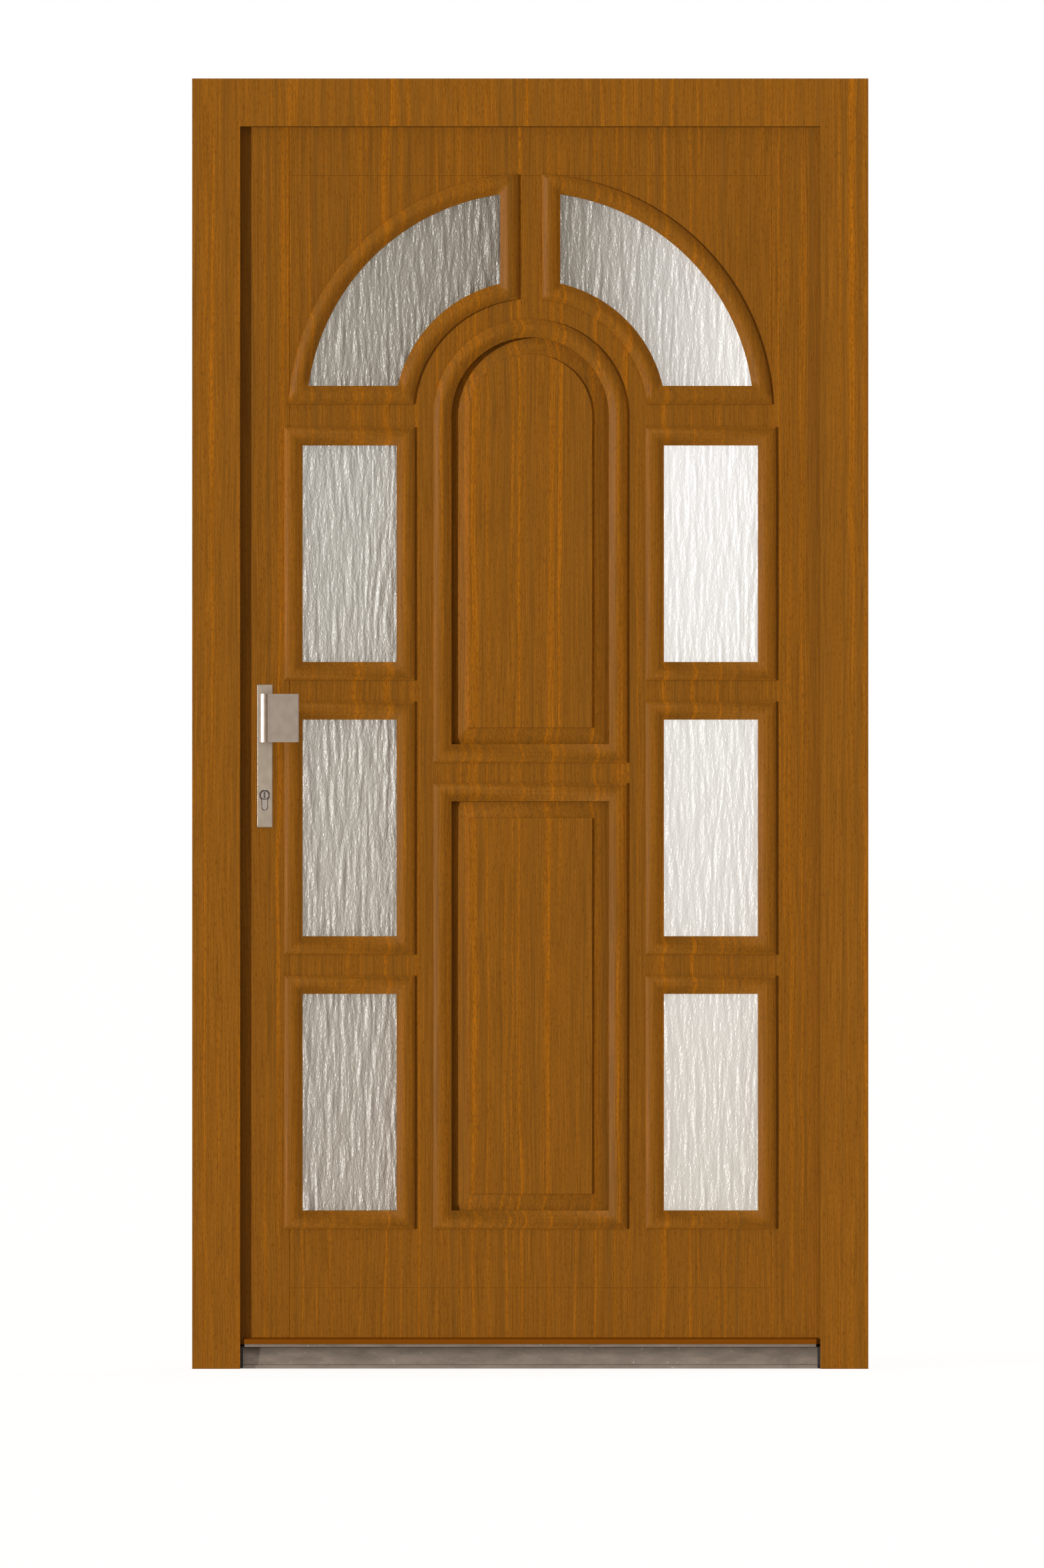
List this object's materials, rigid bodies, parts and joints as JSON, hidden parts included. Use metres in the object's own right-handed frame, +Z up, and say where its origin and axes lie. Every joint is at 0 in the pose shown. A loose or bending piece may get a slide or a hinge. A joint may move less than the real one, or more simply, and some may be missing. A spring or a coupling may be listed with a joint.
{
  "type": "glazed timber entrance door with frame",
  "caption": "Timber entrance door in its frame, opening inwards on right-hand hinges, with a raised-field centre panel under an arch, glazed side columns, lock plate and fixed pull.",
  "frame": {"origin": "middle of the frame's underside, halfway through the frame's depth", "axes": "+Z up, +Y to the inside of the house, +X to the right seen from outside, where the hinges are"},
  "size_m": [1.1, 0.172, 2.1],
  "materials": {
    "oak": "satin varnished golden oak, upright grain",
    "glass": "ornamental glass with fine upright ripples",
    "aluminium": "worn and dirty mill finish",
    "black_plastic": "matt black",
    "rubber": "dark brown sealing strip",
    "drip_paint": "brown paint on aluminium",
    "stainless": "brushed upright",
    "nickel": "satin nickel",
    "satin_steel": "satin"
  },
  "bodies": {
    "frame": {"frame_head": "oak", "frame_jamb_lock": "oak", "frame_jamb_hinge": "oak", "threshold": "aluminium", "threshold_end_caps": "black_plastic", "frame_seal": "rubber", "strike_plate": "satin_steel", "hinge_frame_low": "satin_steel", "hinge_frame_middle": "satin_steel", "hinge_frame_high": "satin_steel"},
    "leaf": {"leaf_stile_lock": "oak", "leaf_stile_hinge": "oak", "leaf_rail_top": "oak", "leaf_rail_bottom": "oak", "infill_panel": "oak", "centre_panel_upper": "oak", "centre_panel_lower": "oak", "glass_arch_left": "glass", "glass_arch_right": "glass", "glass_column_left": "glass", "glass_column_right": "glass", "moulding_left_1": "oak", "moulding_left_2": "oak", "moulding_left_3": "oak", "moulding_right_1": "oak", "moulding_right_2": "oak", "moulding_right_3": "oak", "moulding_arches": "oak", "moulding_centre_panels": "oak", "inside_window_mouldings": "oak", "inside_panel_mouldings": "oak", "drip_bar": "drip_paint", "leaf_seal": "rubber", "leaf_bottom_seal": "rubber", "escutcheon_outside": "stainless", "outside_knob": "stainless", "lock_cylinder": "nickel", "inside_plate": "stainless", "inside_lever": "stainless", "lock_faceplate": "satin_steel", "hinge_leaf_low": "satin_steel", "hinge_leaf_middle": "satin_steel", "hinge_leaf_high": "satin_steel"},
    "key_plug": {"cylinder_plug": "nickel"}
  },
  "joints": [
    {"name": "leaf_swing", "type": "hinge", "parent": "frame", "child": "leaf", "pos_m": [0.512, 0.062, 0], "axis": [0, 0, -1], "range_deg": [0, 100]},
    {"name": "key_plug_turn", "type": "hinge", "parent": "leaf", "child": "key_plug", "pos_m": [-0.432, -0.01, 0.9336], "axis": [0, 1, 0], "continuous": true}
  ]
}
